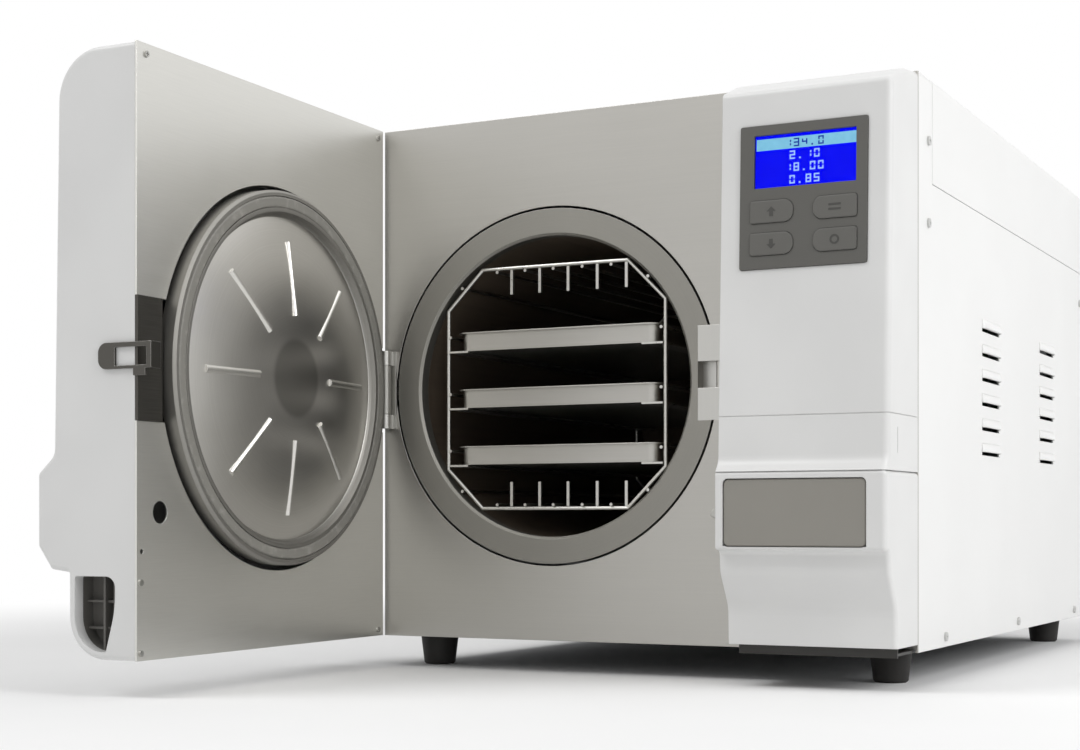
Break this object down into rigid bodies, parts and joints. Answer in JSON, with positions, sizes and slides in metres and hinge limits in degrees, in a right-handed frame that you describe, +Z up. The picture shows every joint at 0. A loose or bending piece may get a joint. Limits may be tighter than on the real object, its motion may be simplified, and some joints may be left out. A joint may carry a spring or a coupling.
{
  "type": "autoclave",
  "caption": "Bench-top steam autoclave with a side-hung door, dished lid, round chamber, wire rack with trays, control column and the works inside.",
  "frame": {"origin": "on the floor under the middle of the machine, measured with its door open as stored", "axes": "+X towards the control column, +Y from the front to the rear along the chamber, +Z up"},
  "size_m": [0.5553, 0.9965, 0.466],
  "materials": {
    "white_moulding": "satin moulded plastic",
    "white_sheet": "fine powder coat",
    "zinc_sheet": "zinc plated",
    "satin_steel": "brushed",
    "turned_steel": "turned and polished",
    "chamber_steel": "drawn, heat toned",
    "wire_steel": "electropolished wire",
    "tray_steel": "pressed sheet",
    "dark_steel": "dark zinc",
    "screw_steel": "plated",
    "rubber": "matt",
    "silicone": "matt silicone",
    "grey_moulding": "fine texture",
    "flap_grey": "fine texture",
    "dark_moulding": "fine texture",
    "display_blue": "backlit liquid crystal",
    "clear_window": "clear",
    "paper": "thermal paper",
    "copper": "drawn tube",
    "brass": "turned",
    "blanket": "wrapped fibre blanket",
    "generator_steel": "welded pot",
    "pump_grey": "die cast",
    "tank_plastic": "translucent moulding",
    "circuit_green": "lacquered board"
  },
  "bodies": {
    "casing": {"air_filter": "tank_plastic", "base_pan": "zinc_sheet", "chamber_cradles": "zinc_sheet", "chamber_flange": "turned_steel", "chamber_vessel": "chamber_steel", "clean_water_tank": "tank_plastic", "condenser": "pump_grey", "control_bezel": "grey_moulding", "display_module": "display_blue", "display_window": "clear_window", "drain_ports": "brass", "feet": "rubber", "front_plate": "satin_steel", "heater_bands": "copper", "hinge_bracket": "satin_steel", "hinge_pin": "zinc_sheet", "insulation_jacket": "blanket", "left_side_panel": "white_sheet", "lock_housing": "satin_steel", "lock_motor": "pump_grey", "lower_fascia": "white_moulding", "main_board": "circuit_green", "pipework": "copper", "power_inlet": "dark_moulding", "power_supply": "pump_grey", "printer_unit": "dark_moulding", "rear_panel": "white_sheet", "right_side_panel": "white_sheet", "safety_valve": "brass", "side_screws": "screw_steel", "solenoid_valves": "brass", "steam_generator": "generator_steel", "top_cover": "white_sheet", "upper_fascia": "white_moulding", "vacuum_pump": "pump_grey", "waste_water_tank": "tank_plastic"},
    "door": {"door_shell": "white_moulding", "grip_liner": "dark_moulding", "door_inner_plates": "satin_steel", "door_screws": "screw_steel", "yoke_bar": "dark_steel", "latch_loop": "dark_steel"},
    "lid": {"lid_disc": "turned_steel", "lid_gasket": "silicone"},
    "rack": {"rack_frames": "wire_steel", "rack_rails": "wire_steel"},
    "tray_top": {"tray_top": "tray_steel"},
    "tray_middle": {"tray_middle": "tray_steel"},
    "tray_bottom": {"tray_bottom": "tray_steel"},
    "key_upper_left": {"key_upper_left": "grey_moulding"},
    "key_upper_right": {"key_upper_right": "grey_moulding"},
    "key_lower_left": {"key_lower_left": "grey_moulding"},
    "key_lower_right": {"key_lower_right": "grey_moulding"},
    "printer_flap": {"printer_flap": "flap_grey"},
    "paper_roll": {"paper_roll": "paper"},
    "fan": {"condenser_fan": "dark_moulding"},
    "rocker": {"mains_rocker": "dark_moulding"},
    "lock_bolt": {"lock_bolt": "zinc_sheet"},
    "door_plunger": {"door_plunger": "dark_moulding"},
    "tank_lid": {"tank_lid": "white_sheet"}
  },
  "joints": [
    {"name": "door_hinge", "type": "hinge", "parent": "casing", "child": "door", "pos_m": [-0.186, -0.168, 0.2345], "axis": [0, 0, 1], "range_deg": [-17, 88.5]},
    {"name": "lid_float", "type": "slide", "parent": "door", "child": "lid", "axis": [-0.9997, -0.0262, 0], "range_m": [0, 0.003], "stiffness_N_per_m": 6000},
    {"name": "rack_slide", "type": "slide", "parent": "casing", "child": "rack", "axis": [0, 1, 0], "range_m": [-0.3, 0]},
    {"name": "tray_top_slide", "type": "slide", "parent": "rack", "child": "tray_top", "axis": [0, 1, 0], "range_m": [-0.25, 0]},
    {"name": "tray_middle_slide", "type": "slide", "parent": "rack", "child": "tray_middle", "axis": [0, 1, 0], "range_m": [-0.25, 0]},
    {"name": "tray_bottom_slide", "type": "slide", "parent": "rack", "child": "tray_bottom", "axis": [0, 1, 0], "range_m": [-0.25, 0]},
    {"name": "key_upper_left_press", "type": "slide", "parent": "casing", "child": "key_upper_left", "axis": [0, 0.9995, -0.0314], "range_m": [0, 0.001], "stiffness_N_per_m": 600},
    {"name": "key_upper_right_press", "type": "slide", "parent": "casing", "child": "key_upper_right", "axis": [0, 0.9995, -0.0314], "range_m": [0, 0.001], "stiffness_N_per_m": 600},
    {"name": "key_lower_left_press", "type": "slide", "parent": "casing", "child": "key_lower_left", "axis": [0, 0.9995, -0.0314], "range_m": [0, 0.001], "stiffness_N_per_m": 600},
    {"name": "key_lower_right_press", "type": "slide", "parent": "casing", "child": "key_lower_right", "axis": [0, 0.9995, -0.0314], "range_m": [0, 0.001], "stiffness_N_per_m": 600},
    {"name": "printer_flap_hinge", "type": "hinge", "parent": "casing", "child": "printer_flap", "pos_m": [0.206, -0.2371, 0.112], "axis": [1, 0, 0], "range_deg": [0, 95]},
    {"name": "paper_roll_spin", "type": "hinge", "parent": "casing", "child": "paper_roll", "pos_m": [0.206, -0.1965, 0.13], "axis": [1, 0, 0], "continuous": true},
    {"name": "fan_spin", "type": "hinge", "parent": "casing", "child": "fan", "pos_m": [-0.041, 0.4515, 0.216], "axis": [0, 1, 0], "continuous": true},
    {"name": "mains_rocker_tilt", "type": "hinge", "parent": "casing", "child": "rocker", "pos_m": [0.159, 0.4605, 0.09], "axis": [1, 0, 0], "range_deg": [0, 14]},
    {"name": "lock_bolt_slide", "type": "slide", "parent": "casing", "child": "lock_bolt", "axis": [-1, 0, 0], "range_m": [0, 0.0024]},
    {"name": "door_plunger_press", "type": "slide", "parent": "casing", "child": "door_plunger", "axis": [0, 1, 0], "range_m": [0, 0.004], "stiffness_N_per_m": 400},
    {"name": "tank_lid_hinge", "type": "hinge", "parent": "casing", "child": "tank_lid", "pos_m": [0.199, 0.4435, 0.4625], "axis": [-1, 0, 0], "range_deg": [0, 100]}
  ]
}
